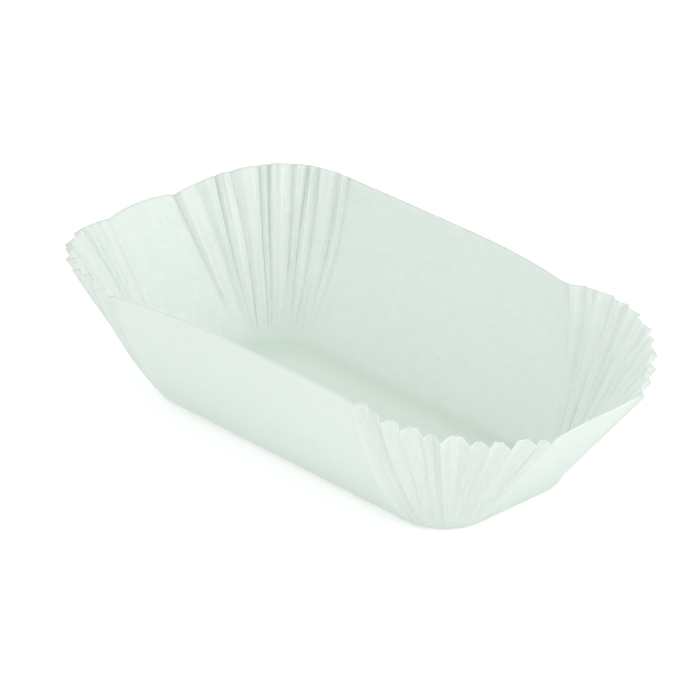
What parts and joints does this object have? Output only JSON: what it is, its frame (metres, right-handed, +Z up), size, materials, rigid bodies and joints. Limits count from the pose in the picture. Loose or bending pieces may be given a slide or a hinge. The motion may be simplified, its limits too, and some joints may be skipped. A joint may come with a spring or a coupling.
{
  "type": "paper baking cup",
  "caption": "Oblong greaseproof paper baking cup: flat bottom, smooth flared long and end walls, and a pleated fan of gathered paper at each corner.",
  "frame": {"origin": "middle of the flat underside, on the surface that the cup stands on", "axes": "+X along the long side, +Y across it, +Z up out of the open top"},
  "size_m": [0.1528, 0.0835, 0.0386],
  "materials": {
    "paper": "matte, slightly translucent"
  },
  "bodies": {
    "root": {"baking_cup": "paper"}
  },
  "joints": []
}
